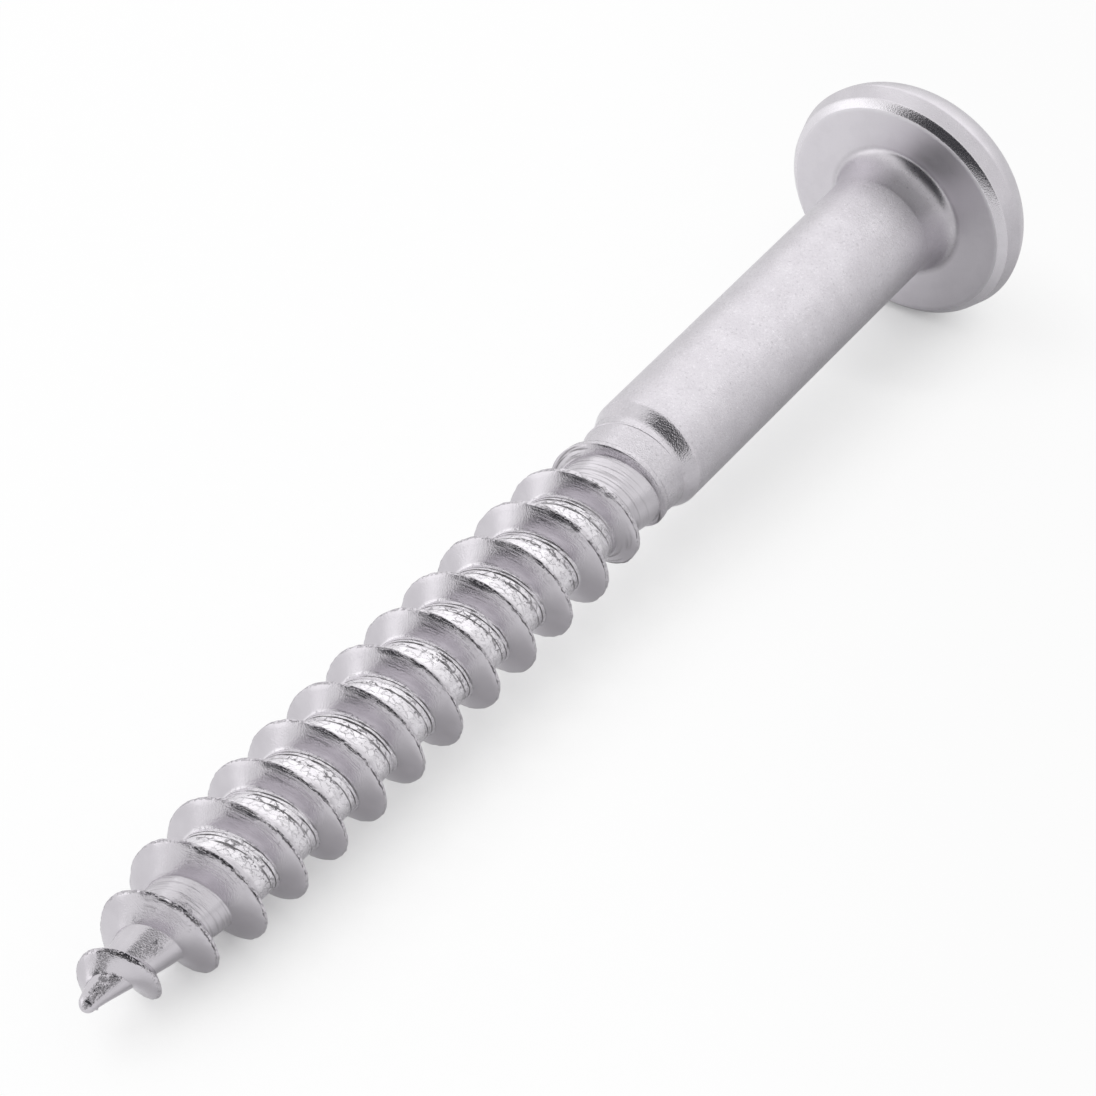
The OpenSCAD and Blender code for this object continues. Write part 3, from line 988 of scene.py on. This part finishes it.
seen = t.math("MAXIMUM", seen, t.ramp(mirrored, 0.0, 1.0, 0.0, FLOOR_WHITE_IN_STEEL))
white = t.add("ShaderNodeEmission", {"Color": WHITE, "Strength": 1.0})
shares = {0: seen, 1: shader.outputs[0], 2: white.outputs[0]}
t.add("ShaderNodeOutputMaterial", {"Surface": t.add("ShaderNodeMixShader", shares).outputs[0]})
floor_mesh.materials.append(paper)

# World: white to look at, softer as a light
WORLD_LIGHT = 0.5
world = bpy.data.worlds.new("studio")
bpy.context.scene.world = world
world.use_nodes = True
t = Tree(world.node_tree)
path = t.add("ShaderNodeLightPath").outputs
seen = t.largest(path["Is Camera Ray"], path["Is Glossy Ray"], path["Is Transmission Ray"])
strength = t.ramp(seen, 0.0, 1.0, WORLD_LIGHT, 1.0)
white = t.add("ShaderNodeBackground", {"Color": WHITE, "Strength": strength})
t.add("ShaderNodeOutputWorld", {"Surface": white.outputs[0]})


def direction(azimuth, elevation):
    """Unit direction from the screw, by compass angle from +X toward +Y and angle above the floor."""
    a = math.radians(azimuth)
    e = math.radians(elevation)
    return Vector((math.cos(a) * math.cos(e), math.sin(a) * math.cos(e), math.sin(e)))


def softbox(name, azimuth, elevation, distance, width, height, radiance):
    """A flat lamp in a direction from the screw, turned to face it."""
    lamp = bpy.data.lights.new(name, "AREA")
    lamp.shape = "RECTANGLE"
    lamp.size = width
    lamp.size_y = height
    lamp.energy = radiance * math.pi * width * height
    box = bpy.data.objects.new(name, lamp)
    toward = direction(azimuth, elevation)
    box.location = toward * distance
    box.rotation_mode = "QUATERNION"
    box.rotation_quaternion = toward.to_track_quat("Z", "Y")
    bpy.context.scene.collection.objects.link(box)
    return box


# Broad softboxes behind and to the left show in the steel, and a higher one throws the shadow
LAMP_DISTANCE = 0.6
BACK_WAY = (8.0, 44.0)
BACK_SIZE = (1.0, 0.6)
BACK_RADIANCE = 0.33
LEFT_WAY = (121.0, 14.0)
LEFT_SIZE = (0.54, 0.36)
LEFT_RADIANCE = 0.4
KEY_WAY = (105.0, 57.0)
KEY_SIZE = (0.4, 0.4)
KEY_RADIANCE = 3.6
softbox("back_softbox", *BACK_WAY, LAMP_DISTANCE, *BACK_SIZE, BACK_RADIANCE)
softbox("left_softbox", *LEFT_WAY, LAMP_DISTANCE, *LEFT_SIZE, LEFT_RADIANCE)
key = softbox("key_softbox", *KEY_WAY, LAMP_DISTANCE, *KEY_SIZE, KEY_RADIANCE)
key.visible_glossy = False

# The dark front of the studio round the camera: a curved card that only the steel mirrors
CARD_DISTANCE = 0.4
CARD_LEFT_LOW = 176.0
CARD_LEFT_HIGH = 148.0
CARD_LEFT_RISE = 32.0
CARD_RIGHT = 267.0
CARD_ELEVATIONS = (9.0, 85.0)
CARD_SOFT = 5.0
CARD_GRID = 3.0
CARD_TONE = (0.055, 0.055, 0.06, 1.0)
card_azimuths = np.arange(CARD_LEFT_HIGH - CARD_SOFT, CARD_RIGHT + CARD_SOFT + CARD_GRID, CARD_GRID)
card_elevations = np.arange(CARD_ELEVATIONS[0] - CARD_SOFT, CARD_ELEVATIONS[1] + CARD_SOFT, CARD_GRID)
card_verts = []
card_cover = []
for elevation in card_elevations:
    for azimuth in card_azimuths:
        card_verts.append(direction(azimuth, elevation) * CARD_DISTANCE)
        left = CARD_LEFT_LOW + (CARD_LEFT_HIGH - CARD_LEFT_LOW) * ease(elevation / CARD_LEFT_RISE)
        cover = window(azimuth, left, CARD_RIGHT, CARD_SOFT) * window(elevation, *CARD_ELEVATIONS, CARD_SOFT)
        card_cover.append(cover)
card_faces = []
card_columns = len(card_azimuths)
for row in range(len(card_elevations) - 1):
    for column in range(card_columns - 1):
        corner = row * card_columns + column
        card_faces.append((corner, corner + 1, corner + card_columns + 1, corner + card_columns))
card_mesh = bpy.data.meshes.new("dark_card")
card_mesh.from_pydata(card_verts, [], card_faces)
cover_layer = card_mesh.attributes.new("cover", "FLOAT", "POINT")
cover_layer.data.foreach_set("value", np.array(card_cover, dtype=np.float32))
card = bpy.data.objects.new("dark_card", card_mesh)
bpy.context.scene.collection.objects.link(card)
card.visible_camera = False
card.visible_diffuse = False
card.visible_shadow = False
card_paint = bpy.data.materials.new("dark_card")
card_paint.use_nodes = True
t = Tree(card_paint.node_tree)
clear = t.add("ShaderNodeBsdfTransparent")
cloth = t.add("ShaderNodeEmission", {"Color": CARD_TONE, "Strength": 1.0})
both = t.add("ShaderNodeMixShader", {0: t.mask("cover"), 1: clear.outputs[0], 2: cloth.outputs[0]})
t.add("ShaderNodeOutputMaterial", {"Surface": both.outputs[0]})
card_mesh.materials.append(card_paint)

# Camera at the photograph's viewing angle
CAMERA_PLACE = Vector((-0.13444, -0.09306, 0.13517))
CAMERA_AIM = Vector((0.0002, 0.0004, 0.0039))
LENS = 160.95
SENSOR = 36.0
CLIP_START = 0.01
CLIP_END = 10.0
camera_data = bpy.data.cameras.new("camera")
camera_data.lens = LENS
camera_data.sensor_width = SENSOR
camera_data.clip_start = CLIP_START
camera_data.clip_end = CLIP_END
camera = bpy.data.objects.new("camera", camera_data)
camera.location = CAMERA_PLACE
camera.rotation_mode = "QUATERNION"
camera.rotation_quaternion = (CAMERA_AIM - CAMERA_PLACE).to_track_quat("-Z", "Y")
bpy.context.scene.collection.objects.link(camera)
bpy.context.scene.camera = camera
bpy.context.scene.view_settings.view_transform = "Standard"
